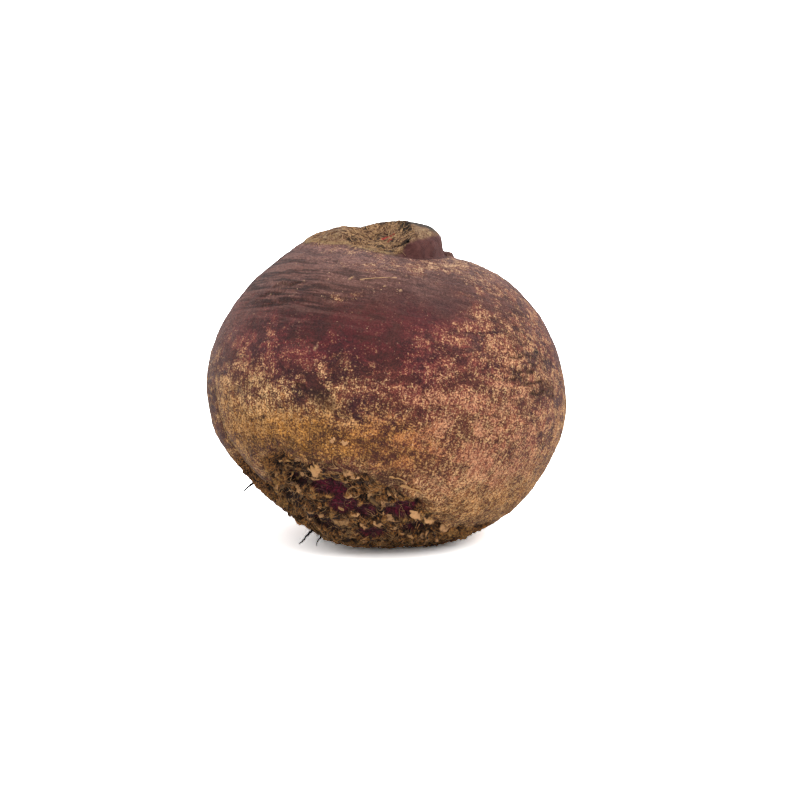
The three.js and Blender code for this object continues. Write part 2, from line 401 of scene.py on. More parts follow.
def painted(patches, bearing, elevation):
    """How strongly a list of soft patches covers each place, from 0 to 1."""
    total = np.zeros_like(bearing)
    for at_bearing, at_elevation, wide, high, strength in patches:
        turn = (bearing - at_bearing + 180) % 360 - 180
        across = turn * np.cos(np.radians(elevation)) / wide
        total += strength * bell(np.hypot(across, (elevation - at_elevation) / high), 1.0)
    return np.clip(total, 0, 1)


class Skin:
    """Everything that the relief and the material need to know at a set of points."""

    def __init__(self, points):
        self.points = points
        self.direction = unit(points - BODY_CENTRE)
        x, y, z = np.moveaxis(self.direction, -1, 0)
        self.bearing = np.degrees(np.arctan2(x, -y))
        self.elevation = np.degrees(np.arcsin(np.clip(z, -1, 1)))
        self.growth = self.growth_place()
        self.find_crown()
        self.find_furrow()
        self.find_root_end()
        self.find_tones()

    def growth_place(self):
        """Two coordinates round the growth axis and one along it, all in millimetres over the skin."""
        side = unit(np.cross(GROWTH_AXIS, [0.0, 1.0, 0.0]))
        back = np.cross(GROWTH_AXIS, side)
        along = np.arccos(np.clip(self.direction @ GROWTH_AXIS, -1, 1))
        around = np.arctan2(self.direction @ back, self.direction @ side)
        return BODY_RADIUS * np.stack([np.cos(around), np.sin(around), along], axis=-1)

    def find_crown(self):
        on_top = smoothstep(60.0, 66.0, self.points[..., 2])
        edge = knob_edge(self.points) + 0.35 * Lattice(11).noise(self.points / 3.5)
        collar = collar_edge(self.points) + 0.5 * Lattice(12).noise(self.points / 4.0)
        dome, scoop = knob_heights(self.points)
        in_knob = smoothstep(0.3, -0.3, edge) * on_top
        self.tissue = np.maximum(in_knob, smoothstep(0.4, -0.1, collar) * on_top)
        self.scar = in_knob * smoothstep(-0.2, 0.5, dome - scoop)
        right = smoothstep(2.0, 5.0, self.points[..., 0])
        self.wall = smoothstep(1.3, 0.7, edge) * on_top * (1 - self.scar) * right
        self.wall *= smoothstep(-1.3, -0.7, edge)
        # The crease at the knob's edge, where the material paints shade.
        self.crease = bell(edge - 0.9, 0.5) * on_top * smoothstep(-6.0, 0.0, self.points[..., 0])
        outside = np.minimum(edge, collar)
        self.rim = bell(outside - 0.3, 0.35) * on_top * smoothstep(4.0, -1.0, self.points[..., 0])

    def find_furrow(self):
        wander = fractal(self.points, 14, 2, 21)
        out = np.degrees(np.arcsin(np.clip(self.direction @ OUTLINE_FRONT, -1, 1)))
        around = np.degrees(np.arctan2(self.direction[..., 0], self.direction @ OUTLINE_UP)) % 360
        ragged = 1.5 * wander + 0.5 * fractal(self.points, 3, 2, 22)
        aside = np.radians(out - FURROW_OUT) * BODY_RADIUS + ragged
        along = smoothstep(FURROW_FROM - 8, FURROW_FROM, around)
        along = along * smoothstep(FURROW_TO + 8, FURROW_TO - 6, around)
        broken = np.clip(0.75 + 0.6 * fractal(self.points, 6, 2, 23), 0.1, 1.0)
        self.furrow = bell(aside, 0.8) * along * broken
        self.furrow_lip = bell(aside - 1.7, 0.7) * along * broken
        low = smoothstep(212, 222, around) * smoothstep(252, 240, around)
        self.furrow_side = smoothstep(1.5, -1.0, aside) * smoothstep(-14, -9, aside) * low

    def find_root_end(self):
        away = np.degrees(np.arccos(np.clip(self.direction @ ROOT_DIRECTION, -1, 1)))
        ragged = away + 3.2 * fractal(self.points, 9, 3, 31)
        outside = ragged - ROOT_REACH
        for bearing, elevation, reach in ROOT_LOBES:
            turned = np.degrees(np.arccos(np.clip(self.direction @ towards(bearing, elevation), -1, 1)))
            outside = smooth_min(outside, turned + (ragged - away) - reach, 4.0)
        torn = 1 - smoothstep(-3.0, 2.5, outside)
        self.rough = np.maximum(torn, self.furrow_side)
        self.near_rough = 1 - smoothstep(0.0, 12.0, outside)
        self.hollow = np.zeros_like(away)
        self.flesh = np.zeros_like(away)
        wobble = 0.35 * fractal(self.points, 3.0, 2, 32)
        for bearing, elevation, wide, high, depth, flesh in HOLLOWS:
            turn = (self.bearing - bearing + 180) % 360 - 180
            across = turn * np.cos(np.radians(self.elevation)) / wide
            inside = smoothstep(1.15, 0.7, np.hypot(across, (self.elevation - elevation) / high) + wobble)
            self.hollow = np.maximum(self.hollow, depth * inside)
            self.flesh = np.maximum(self.flesh, flesh * inside)
        self.root_away = away

    def find_tones(self):
        bearing = self.bearing + 5.0 * fractal(self.points, 9, 3, 41)
        elevation = self.elevation + 3.5 * fractal(self.points, 9, 3, 42)
        tones = {}
        for name, patches in (
            ("scurf", SCURF), ("ochre", OCHRE), ("crimson", CRIMSON), ("dark", DARK),
            ("bloom", BLOOM_AND_SHEEN), ("smooth", SMOOTH), ("striae", STRIAE),
        ):
            tones[name] = painted(patches, bearing, elevation)
        self.tones = tones
        self.marks = np.stack([drawn(strokes, self) for strokes in (SCRATCHES, SCARS, SCABS)], -1)
        self.crown_marks = np.stack([drawn(strokes, self) for strokes in (STRIPS, RED_SPOTS, HOLES)], -1)


def relief(skin):
    """Height of the skin's detail over the smooth body, and the crust's own height and chip value."""
    p, tones = skin.points, skin.tones
    plain = (1 - skin.rough) * (1 - skin.tissue)

    lumps = 0.34 * fractal(p, 13, 2, 51) + 0.10 * fractal(p, 4.5, 2, 52)
    stretched = skin.growth * np.array([0.05, 0.05, 0.75])
    lines = fractal(stretched, 1.0, 3, 53)
    striae = (0.02 + 0.12 * tones["striae"]) * lines
    scurf = (0.05 + 0.09 * tones["scurf"]) * fractal(p, 1.5, 3, 54)
    height = lumps + plain * (striae + scurf)

    height += -1.1 * skin.furrow + 0.4 * skin.furrow_lip
    scratch, scar_mark, scab = np.moveaxis(skin.marks, -1, 0)
    beads = Lattice(56).chips(p / 0.9)[0]
    height += 0.10 * scratch - 0.30 * scar_mark + 0.30 * scab * smoothstep(0.0, 0.5, beads)

    warped = p + 0.9 * np.stack([fractal(p, 3.0, 2, 61 + k) for k in range(3)], axis=-1)
    gap, value = Lattice(64).chips(warped / 2.9)
    fine_gap, fine_value = Lattice(65).chips(warped / 1.25)
    chips = 0.85 * (value - 0.5) - 0.35 * smoothstep(0.22, 0.0, gap)
    fine = 0.45 * (fine_value - 0.5) - 0.22 * smoothstep(0.25, 0.0, fine_gap)
    crust = chips + fine + 0.4 * fractal(p, 1.6, 3, 66)
    layers = 0.16 * ridged(np.stack([skin.root_away * 0.62, p[..., 0] * 0.1, p[..., 2] * 0.1], -1), 1.0, 67)
    broken = crust * (1 - skin.flesh) + layers * skin.flesh - skin.hollow
    height += skin.rough * (broken - 0.15)
    height += 0.5 * skin.near_rough * (1 - skin.rough) * np.maximum(fractal(p, 2.6, 2, 68) - 0.25, 0)

    tangle = 0.22 * ridged(p + 0.6 * fractal(p, 2.2, 1, 71)[..., None], 1.1, 72)
    height += skin.scar * (tangle + 0.3 * fractal(p, 3.0, 2, 73) - 0.1 - 0.6 * skin.crown_marks[..., 2])
    height += skin.tissue * (1 - skin.scar) * (0.07 * fractal(p, 1.6, 2, 74)) + 0.25 * skin.rim

    off_floor = smoothstep(0.2, 3.0, p[..., 2])
    return height * off_floor, np.clip(0.5 + 0.42 * broken, 0, 1), value


# ---- Meshes ----


def grid_normals(points):
    """Outward normals of a grid whose rows run down the body and whose columns close round it."""
    around = np.roll(points, -1, axis=1) - np.roll(points, 1, axis=1)
    down = np.gradient(points, axis=0)
    normals = unit(np.cross(down, around))
    outward = np.sign(np.sum(normals * (points - BODY_CENTRE), axis=-1, keepdims=True))
    normals = normals * np.where(outward == 0, 1, outward)
    for pole, other in ((0, 1), (-1, -2)):
        normals[pole] = unit(normals[other].mean(axis=0))
    return normals


def skin_grid(body):
    """The finished skin as a grid of points, with its normals and all that its material needs."""
    polar = np.linspace(0, math.pi, PROFILE_STEPS)[:, None] + np.zeros((1, MERIDIANS))
    around = np.arange(MERIDIANS)[None, :] * 2 * math.pi / MERIDIANS
    fine = with_crown(body.points(polar, around + 0 * polar))
    step = np.linalg.norm(np.diff(fine, axis=0), axis=-1)
    halfway = 0.5 * (fine[1:] + fine[:-1])
    away = np.degrees(np.arccos(np.clip(unit(halfway - BODY_CENTRE) @ ROOT_DIRECTION, -1, 1)))
    density = 1 + 1.3 * smoothstep(50, 35, away) + 0.8 * smoothstep(66, 70, halfway[..., 2])
    density -= 0.6 * smoothstep(1.0, 0.2, halfway[..., 2])
    travelled = np.concatenate([np.zeros((1, MERIDIANS)), np.cumsum(step * density, axis=0)])
    wanted = np.linspace(0, 1, RINGS + 1)
    chosen = np.empty((RINGS + 1, MERIDIANS))
    for column in range(MERIDIANS):
        chosen[:, column] = np.interp(wanted * travelled[-1, column], travelled[:, column], polar[:, column])
    smooth = with_crown(body.points(chosen, around + 0 * chosen))
    smooth[0] = smooth[0].mean(axis=0)
    smooth[-1] = smooth[-1].mean(axis=0)
    skin = Skin(smooth)
    height, crust, chip = relief(skin)
    points = smooth + grid_normals(smooth) * height[..., None]
    points[..., 2] = np.maximum(points[..., 2], 0.02)
    points[0] = points[0].mean(axis=0)
    points[-1] = points[-1].mean(axis=0)
    return points, grid_normals(points), skin, crust, chip


def new_piece(name, points, faces, material):
    """A mesh object that rides with the beetroot. Points are in millimetres."""
    mesh = bpy.data.meshes.new(name)
    mesh.from_pydata((points * MM).tolist(), [], faces)
    mesh.materials.append(material)
    mesh.polygons.foreach_set("use_smooth", [True] * len(mesh.polygons))
    mesh.update()
    piece = bpy.data.objects.new(name, mesh)
    bpy.context.scene.collection.objects.link(piece)
    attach(piece, "root")
    return piece


def store(piece, name, vectors):
    """Keeps three values for every point of a piece, for its material to read."""
    attribute = piece.data.attributes.new(name, "FLOAT_VECTOR", "POINT")
    attribute.data.foreach_set("vector", np.ascontiguousarray(vectors, dtype=np.float32).ravel())


def skin_piece(name, rows, grid, material):
    """One band of the skin's rings, closed by a fan where the band reaches a pole."""
    points, normals, skin, crust, chip = grid
    tones = skin.tones
    lip = np.maximum(skin.furrow_lip, skin.rim)
    fields = {
        "place": skin.points,
        "growth": skin.growth,
        "tone": np.stack([tones["scurf"], tones["ochre"], tones["crimson"]], -1),
        "shade": np.stack([tones["dark"], tones["bloom"], tones["smooth"]], -1),
        "zone": np.stack([skin.rough, skin.flesh, skin.furrow], -1),
        "crown": np.stack([skin.tissue, skin.scar, skin.wall], -1),
        "crust": np.stack([chip, crust, tones["striae"]], -1),
        "edges": np.stack([skin.crease, skin.near_rough, lip], -1),
        "marks": skin.marks,
        "crown_marks": skin.crown_marks,
    }
    rows = np.array(rows)
    poles = [row for row in (0, RINGS) if row in rows]
    ring_rows = [row for row in rows if row not in poles]
    index = np.arange(len(ring_rows) * MERIDIANS).reshape(len(ring_rows), MERIDIANS)
    after = np.roll(index, -1, axis=1)
    quads = np.stack([index[:-1], index[1:], after[1:], after[:-1]], -1).reshape(-1, 4).tolist()
    pole_index = len(ring_rows) * MERIDIANS
    if 0 in poles:
        fan = np.stack([np.full(MERIDIANS, pole_index), index[0], after[0]], -1).tolist()
    else:
        fan = np.stack([np.full(MERIDIANS, pole_index), after[-1], index[-1]], -1).tolist()

    def gather(values):
        return np.concatenate([values[ring_rows].reshape(-1, 3), values[poles[0]][:1]])

    piece = new_piece(name, gather(points), quads + fan, material)
    for field, values in fields.items():
        store(piece, field, gather(values))
    piece.data.normals_split_custom_set_from_vertices(gather(normals).tolist())
    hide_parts(NODE)
    return piece


# ---- Materials ----


def colour(code):
    """Linear colour of a six-digit sRGB code."""
    parts = [int(code[i : i + 2], 16) / 255 for i in (0, 2, 4)]
    linear = [p / 12.92 if p <= 0.04045 else ((p + 0.055) / 1.055) ** 2.4 for p in parts]
    return (*linear, 1.0)


# Colours are written as they are seen. The white surroundings light the beetroot by about this much more than
# a plain white card's worth, so a finished colour is divided by it.
SURROUND_GAIN = 1.5
WARMTH = (1.125, 1.06, 0.975)  # and the whole is turned a little towards yellow and red
OWN_SHARE = (*(part / SURROUND_GAIN for part in WARMTH), 1.0)


class Nodes:
    """Short names for building a node material."""

    def __init__(self, name):
        self.material = bpy.data.materials.new(name)
        self.material.use_nodes = True
        self.tree = self.material.node_tree
        self.shader = self.tree.nodes["Principled BSDF"]

    def put(self, socket, value):
        if isinstance(value, bpy.types.NodeSocket):
            self.tree.links.new(value, socket)
        else:
            socket.default_value = value

    def field(self, name):
        node = self.tree.nodes.new("ShaderNodeAttribute")
        node.attribute_name = name
        return node.outputs["Vector"]

    def parts(self, name):
        node = self.tree.nodes.new("ShaderNodeSeparateXYZ")
        self.put(node.inputs[0], self.field(name))
        return [node.outputs[k] for k in range(3)]

    def stretch(self, vector, factors):
        node = self.tree.nodes.new("ShaderNodeVectorMath")
        node.operation = "MULTIPLY"
        self.put(node.inputs[0], vector)
        node.inputs[1].default_value = factors
        return node.outputs[0]

    def noise(self, vector, scale, detail=3.0, roughness=0.6, distortion=0.0):
        node = self.tree.nodes.new("ShaderNodeTexNoise")
        self.put(node.inputs["Vector"], vector)
        node.inputs["Scale"].default_value = scale
        node.inputs["Detail"].default_value = detail
        node.inputs["Roughness"].default_value = roughness
        node.inputs["Distortion"].default_value = distortion
        return node.outputs["Fac"]

    def dots(self, vector, scale):
        node = self.tree.nodes.new("ShaderNodeTexVoronoi")
        self.put(node.inputs["Vector"], vector)
        node.inputs["Scale"].default_value = scale
        return node.outputs["Distance"]

    def calc(self, operation, a, b=0.0, c=None):
        node = self.tree.nodes.new("ShaderNodeMath")
        node.operation = operation
        self.put(node.inputs[0], a)
        self.put(node.inputs[1], b)
        if c is not None:
            self.put(node.inputs[2], c)
        return node.outputs[0]

    def times(self, a, b):
        return self.calc("MULTIPLY", a, b)

    def plus(self, a, b):
        return self.calc("ADD", a, b)

    def less(self, a, b):
        return self.calc("SUBTRACT", a, b)

    def span(self, value, low, high, to_low=0.0, to_high=1.0):
        node = self.tree.nodes.new("ShaderNodeMapRange")
        node.interpolation_type = "SMOOTHSTEP"
        self.put(node.inputs["Value"], value)
        self.put(node.inputs["From Min"], low)
        self.put(node.inputs["From Max"], high)
        self.put(node.inputs["To Min"], to_low)
        self.put(node.inputs["To Max"], to_high)
        return node.outputs["Result"]

    def mix(self, a, b, factor, blend="MIX"):
        node = self.tree.nodes.new("ShaderNodeMix")
        node.data_type = "RGBA"
        node.blend_type = blend
        self.put(node.inputs["Factor"], factor)
        self.put(node.inputs[6], a)
        self.put(node.inputs[7], b)
        return node.outputs[2]

    def bump(self, height, distance, strength):
        node = self.tree.nodes.new("ShaderNodeBump")
        self.put(node.inputs["Height"], height)
        node.inputs["Distance"].default_value = distance
        node.inputs["Strength"].default_value = strength
        return node.outputs["Normal"]

    def finish(self, base, roughness, normal, sheen=0.0, sheen_tint="ffffff", specular=0.5):
        inputs = self.shader.inputs
        self.put(inputs["Base Color"], self.mix(base, OWN_SHARE, 1.0, "MULTIPLY"))
        self.put(inputs["Roughness"], roughness)
        self.put(inputs["Normal"], normal)
        inputs["Specular IOR Level"].default_value = specular
        inputs["Sheen Weight"].default_value = sheen
        inputs["Sheen Roughness"].default_value = 0.45
        inputs["Sheen Tint"].default_value = colour(sheen_tint)
        return self.material


def contrast(n, value, reach):
    """Spreads a noise value that keeps near one half over the whole of 0 to 1."""
    return n.span(value, 0.5 - reach, 0.5 + reach)


class SkinFields:
    """The masks stored on the skin and the noises that its layers share, by name."""

    def __init__(self, n):
        self.place, self.growth = n.field("place"), n.field("growth")
        self.scurf, self.ochre, self.crimson = n.parts("tone")
        self.dark, self.bloom, self.smooth = n.parts("shade")
        self.rough, self.flesh, self.furrow_shade = n.parts("zone")
        self.tissue, self.scar, self.wall = n.parts("crown")
        self.chip, self.crust, self.striae = n.parts("crust")
        self.crease, self.near_rough, self.lip = n.parts("edges")
        self.scratch, self.scar_mark, self.scab = n.parts("marks")
        self.strip, self.red_spot, self.hole = n.parts("crown_marks")
        self.add_noises(n)
        self.add_scurf(n)

    def add_noises(self, n):
        place, growth = self.place, self.growth
        self.fine = contrast(n, n.noise(place, 2.7, 2, 0.6), 0.22)
        self.fibre = contrast(n, n.noise(place, 1.1, 4, 0.75, 1.8), 0.17)
        self.clump = contrast(n, n.noise(place, 0.30, 4, 0.65, 0.6), 0.15)
        self.broad = contrast(n, n.noise(place, 0.09, 3, 0.5), 0.15)
        across, down = n.stretch(growth, (0.2, 0.2, 1.5)), n.stretch(growth, (1.4, 1.4, 0.3))
        patches, arcs = n.stretch(growth, (0.13, 0.13, 0.26)), n.stretch(growth, (0.07, 0.07, 0.8))
        self.across = contrast(n, n.noise(across, 1.0, 4, 0.7, 0.5), 0.17)
        self.down = contrast(n, n.noise(down, 1.0, 3, 0.7, 0.8), 0.17)
        self.patchy = contrast(n, n.noise(patches, 1.0, 4, 0.62, 0.8), 0.16)
        self.arcs = contrast(n, n.noise(arcs, 1.0, 3, 0.6, 0.3), 0.15)
        self.fuzz = n.plus(self.fine, self.fibre)

    def add_scurf(self, n):
        """Where the skin shows red, how much scurf it carries, and the specks of the scurf."""
        self.red = n.times(self.crimson, n.span(n.plus(self.clump, self.patchy), 0.4, 1.6, 0.2, 1.0))
        amount = n.calc("MULTIPLY_ADD", self.scurf, 0.68, 0.15)
        amount = n.calc("MULTIPLY_ADD", self.smooth, -0.35, amount)
        self.amount = n.plus(amount, n.calc("MULTIPLY_ADD", self.patchy, 0.34, -0.18))
        level = n.plus(n.times(self.fibre, 0.25), n.times(self.across, 0.17))
        level = n.plus(n.times(self.fine, 0.26), level)
        level = n.plus(level, n.plus(n.times(self.down, 0.11), n.times(self.clump, 0.21)))
        start = n.calc("MULTIPLY_ADD", self.amount, -0.56, 0.70)
        self.speck = n.span(level, start, n.plus(start, 0.26))


SMOOTH_SHADE = (0.86, 0.80, 0.78, 1.0)  # smooth skin is darker than the rest by this much


def bare_skin(n, f):
    """The skin under the scurf, with its red and dark patches, its lilac bloom and painted sheen, and its
    growth lines.
    """
    skin = n.mix(colour("62352e"), colour("47232a"), f.broad)
    skin = n.mix(skin, colour("7d2a34"), n.times(f.red, n.span(f.across, 0.0, 1.0, 0.45, 0.95)))
    skin = n.mix(skin, colour("2b1413"), n.times(f.dark, n.span(f.across, 0.0, 1.0, 0.4, 0.95)))
    # Bloom and painted sheen: the skin is paled to lilac-grey along its edges and shoulders.
    skin = n.mix(skin, colour("8d6c66"), n.times(f.bloom, n.span(f.fibre, 0.0, 1.0, 0.25, 0.9)))
    skin = n.mix(skin, colour("2a1614"), n.times(f.striae, n.span(f.arcs, 0.5, 0.85, 0.0, 0.75)))
    return n.mix(skin, colour("94706a"), n.times(f.striae, n.span(f.arcs, 0.4, 0.1, 0.0, 0.45)))


def with_scurf(n, f, skin):
    """A thin veil over the skin, and tan scurf on it in specks, fibres and streaks."""
    veil = n.span(n.plus(f.amount, n.times(n.less(f.clump, 0.5), 0.35)), 0.15, 0.75)
    tone = n.mix(colour("98583f"), colour("93602c"), n.times(f.ochre, 0.9))
    tone = n.mix(tone, colour("94454a"), n.times(f.red, 0.75))
    surface = n.mix(skin, tone, n.times(veil, 0.8))
    tan = n.mix(colour("95653c"), colour("ecc694"), n.span(n.plus(f.fine, f.down), 0.5, 1.6))
    tan = n.mix(tan, colour("c98c74"), n.times(f.red, 0.45))
    # The specks are paled there too, by the same bloom and painted sheen.
    tan = n.mix(tan, colour("cfb19a"), n.times(f.bloom, 0.75))
    tan = n.mix(tan, n.mix(colour("8a541c"), colour("cc9144"), f.fibre), n.times(f.ochre, 0.8))
    surface = n.mix(surface, tan, n.times(f.speck, n.calc("MULTIPLY_ADD", f.red, -0.25, 0.85)))
    blotches = n.span(f.patchy, 0.0, 1.0, 0.80, 1.18)
    surface = n.mix(surface, blotches, n.span(f.smooth, 0.0, 1.0, 1.0, 0.3), "MULTIPLY")
    return n.mix(surface, SMOOTH_SHADE, f.smooth, "MULTIPLY")


def with_dots(n, f, surface):
    """A few pale dots, dark flecks and an uneven tone everywhere."""
    pale = n.span(n.dots(f.place, 0.55), 0.11, 0.05)
    surface = n.mix(surface, colour("dab694"), n.times(pale, n.span(f.clump, 0.45, 0.7)))
    beads = n.span(n.dots(f.place, 1.15), 0.24, 0.12)
    beads = n.times(beads, n.span(n.plus(f.patchy, f.fine), 0.8, 1.3))
    surface = n.mix(surface, colour("c9a58a"), n.times(beads, n.span(f.smooth, 0.0, 1.0, 0.6, 0.2)))
    flecks = n.span(n.noise(f.place, 0.8, 4, 0.7, 1.2), 0.58, 0.66)
    surface = n.mix(surface, colour("331c14"), n.times(flecks, n.span(f.amount, 0.2, 0.8, 0.3, 0.8)))
    uneven = n.span(f.fuzz, 0.3, 1.7, 0.48, 1.46)
    return n.mix(surface, uneven, n.span(f.smooth, 0.0, 1.0, 1.0, 0.4), "MULTIPLY")


def with_marks(n, f, surface):
    """Scratches, scars and scabs, and painted shade in the furrow."""
    surface = n.mix(surface, colour("c7a184"), n.times(f.scratch, 0.8))
    scar_tone = n.span(f.across, 0.1, 0.7, 0.5, 0.9)
    surface = n.mix(surface, colour("351d16"), n.times(f.scar_mark, scar_tone))
    crumbs = n.mix(colour("b48c6c"), colour("38211a"), n.span(n.dots(f.place, 1.15), 0.15, 0.40))
    surface = n.mix(surface, crumbs, n.times(f.scab, n.span(f.fibre, 0.0, 1.0, 0.35, 0.85)))
    # Painted shade: the furrow's groove is darkened almost to black.
    return n.mix(surface, colour("26150c"), n.times(f.furrow_shade, 0.92))


def with_root_end(n, f, surface):
    """The broken crust and the torn flesh of the root end, and crumbs just outside them. The crust is painted
    darker where it lies lower: partly the chips' own tone, partly painted shade in its cracks and hollows.
    """
    # Partly each chip's own tone, partly painted shade and light by height: the crust is painted dark where
    # it lies low in cracks and hollows, and pale where it stands high.
    crust_tone_and_shade = n.span(n.plus(f.crust, n.times(f.fibre, 0.45)), 0.36, 0.86)
    ground = n.mix(colour("28150c"), colour("b8814c"), crust_tone_and_shade)
    pale_chip = n.times(n.span(f.chip, 0.55, 0.8), n.span(f.crust, 0.4, 0.75))
    ground = n.mix(ground, colour("cda266"), n.times(pale_chip, n.span(f.fibre, 0.2, 0.7, 0.2, 0.9)))
    ground = n.mix(ground, colour("1d100a"), n.span(f.clump, 0.55, 0.85, 0.0, 0.75))
    meat = n.mix(colour("36101b"), colour("74203a"), n.span(n.plus(f.clump, f.fibre), 0.4, 1.6))
    meat = n.mix(meat, colour("93666a"), n.span(f.across, 0.7, 0.95, 0.0, 0.5))
    ground = n.mix(ground, meat, n.times(f.flesh, n.span(f.fibre, 0.0, 0.4, 0.6, 1.0)))
    ground = n.mix(ground, n.span(f.fuzz, 0.3, 1.7, 0.5, 1.4), 1.0, "MULTIPLY")
    surface = n.mix(surface, ground, n.span(f.rough, 0.2, 0.8))
    crumbs = n.times(n.less(f.near_rough, f.rough), n.span(f.clump, 0.45, 0.8, 0.0, 0.6))
    return n.mix(surface, colour("33200f"), crumbs)


def with_crown_tones(n, f, surface):
    """The crown's corky tissue, its torn scar and smooth wall, painted shade in the crease at the knob's
    edge, and the pale lips.
    """
    cork = n.mix(colour("b59a76"), colour("7d5a45"), f.clump)
    streaks = n.noise(n.stretch(f.place, (0.35, 1.3, 1.3)), 1.2, 3, 0.7, 0.6)
    streaks = contrast(n, streaks, 0.2)
    cork = n.mix(cork, colour("52341e"), n.span(n.plus(streaks, f.fine), 0.7, 1.5, 0.0, 0.9))
    surface = n.mix(surface, cork, n.times(f.tissue, 0.92))
    torn = n.mix(colour("4a281a"), colour("caa27a"), n.span(f.fuzz, 0.4, 1.5))
    torn = n.mix(torn, colour("1c100b"), n.span(f.clump, 0.5, 0.8, 0.0, 0.9))
    torn = n.mix(torn, colour("b3302a"), n.times(f.red_spot, 0.9))
    # Painted shade: the holes' pits are painted near black.
    torn = n.mix(torn, colour("140b08"), n.times(f.hole, 0.9))
    surface = n.mix(surface, torn, f.scar)
    surface = n.mix(surface, colour("1d1c14"), n.times(f.strip, n.times(f.tissue, 0.9)))
    surface = n.mix(surface, n.mix(colour("6f4643"), colour("54302f"), f.clump), f.wall)
    # Painted shade: the crease at the knob's edge is darkened.
    surface = n.mix(surface, colour("2b1a17"), n.times(f.crease, 0.4))
    return n.mix(surface, colour("b3976b"), n.times(f.lip, n.span(f.fuzz, 0.4, 1.4, 0.15, 0.85)))


def skin_material():
    n = Nodes("beetroot_skin")
    f = SkinFields(n)
    surface = with_scurf(n, f, bare_skin(n, f))
    for layer in (with_dots, with_marks, with_root_end, with_crown_tones):
        surface = layer(n, f, surface)

    roughness = n.span(n.plus(f.speck, f.rough), 0.0, 1.0, 0.55, 0.85)
    height = n.plus(n.times(f.speck, 0.5), n.plus(n.times(f.fine, 0.35), n.times(f.fibre, 0.45)))
    height = n.plus(height, n.times(f.across, n.span(f.striae, 0, 1, 0.15, 0.7)))
    height = n.plus(height, n.times(n.plus(f.rough, f.scar), n.times(f.fibre, 0.9)))
    normal = n.bump(height, 0.00030, 0.85)
    return n.finish(surface, roughness, normal, sheen=0.02, sheen_tint="c9b3bd", specular=0.16)


def strand_material(name, dark, light):
    """For flakes, fibres and rootlets. `kind` holds a random value, a shade and how near the tip is."""
    n = Nodes(name)
    place = n.field("place")
    chance, tone, tip = n.parts("kind")
    grain = n.noise(place, 2.2, 3, 0.65)
    shade = n.span(n.plus(tone, n.times(n.less(grain, 0.5), 0.9)), 0.15, 0.85)
    base = n.mix(colour(dark), colour(light), shade)
    base = n.mix(base, colour("1b100a"), n.times(n.span(n.noise(place, 0.8, 3), 0.52, 0.7), 0.6))
    base = n.mix(base, colour("d2a35e"), n.times(tip, n.span(chance, 0.5, 1.0, 0.0, 0.55)))
    normal = n.bump(grain, 0.0002, 0.7)
    return n.finish(base, 0.75, normal, specular=0.3)


# ---- Flakes, fibres and rootlets ----


class Cluster:
    """Collects many small shapes into one mesh."""

    def __init__(self):
        self.points, self.faces, self.kinds, self.count = [], [], [], 0

    def add(self, points, faces, kinds):
        self.points.append(points)
        self.faces.extend([tuple(corner + self.count for corner in face) for face in faces])
        self.kinds.append(kinds)
        self.count += len(points)

    def piece(self, name, material):
        points = np.concatenate(self.points)
        points[:, 2] = np.maximum(points[:, 2], 0.05)
        piece = new_piece(name, points, self.faces, material)
        store(piece, "place", points)
        store(piece, "kind", np.concatenate(self.kinds))
        return piece


FAR_OUT = 90.0  # millimetres from the body's centre: outside the whole beetroot


class Ground:
    """Finds the skin's point and normal in a direction, to stand small things on it."""

    def __init__(self, points):
        rows, columns = points.shape[:2]
        index = np.arange(rows * columns).reshape(rows, columns)
        after = np.roll(index, -1, axis=1)
        quads = np.stack([index[:-1], index[1:], after[1:], after[:-1]], -1).reshape(-1, 4)
        self.tree = BVHTree.FromPolygons(points.reshape(-1, 3).tolist(), quads.tolist())

    def at(self, direction):
        hit = self.tree.ray_cast(Vector(BODY_CENTRE + FAR_OUT * direction), Vector(-direction))[0]
        return np.array(hit)

    def frame(self, direction, turn):
        """A place on the skin with its outward direction, and two directions along it, turned by an angle."""
        point = self.at(direction)
        right = unit(np.cross([0.0, 0.0, 1.0], direction))
        up = np.cross(direction, right)
        c, s = math.cos(turn), math.sin(turn)
        return point, direction, c * right + s * up, c * up - s * right


def tube(cluster, path, radii, kind, sides=4):
    """A thin tube along a path, tapering as its radii do, and open at its ends."""
    path = np.asarray(path)
    ahead = unit(np.gradient(path, axis=0))
    side = unit(np.cross(ahead, [0.3, 0.5, 0.81]))
    other = np.cross(ahead, side)
    angles = np.arange(sides) * 2 * math.pi / sides
    ring = np.cos(angles)[None, :, None] * side[:, None] + np.sin(angles)[None, :, None] * other[:, None]
    points = path[:, None] + ring * np.asarray(radii)[:, None, None]
    faces = []
    for row in range(len(path) - 1):
        for k in range(sides):
            a, b = row * sides + k, row * sides + (k + 1) % sides
            faces.append((a, b, b + sides, a + sides))
    along = np.repeat(np.linspace(0, 1, len(path)), sides)
    kinds = np.stack([np.full_like(along, kind[0]), np.full_like(along, kind[1]), along * kind[2]], -1)
    cluster.add(points.reshape(-1, 3), faces, kinds)


def fibre(cluster, ground, direction, random, length, radius, lift, kind, curl, turn=None):
    """A fibre that wanders over the skin from a place on it, at first in the direction of an angle."""
    steps = 8
    start = random.uniform(0, 2 * math.pi)
    point, out, along, _ = ground.frame(direction, start if turn is None else turn)
    bend = random.normal(0, curl)
    path = []
    for step in range(steps):
        t = step / (steps - 1)
        rise = lift * math.sin(math.pi * min(t * 1.1, 1.0)) * random.uniform(0.7, 1.3)
        path.append(point + out * rise)
        swerve = bend * length / steps / 4 + random.normal(0, 0.18)
        along = unit(along * math.cos(swerve) + np.cross(out, along) * math.sin(swerve))
        following = point + along * length / steps
        out = unit(following - BODY_CENTRE)
        point = ground.at(out)
    radii = radius * np.linspace(1.0, 0.35, steps)
    tube(cluster, path, radii, kind, sides=3)


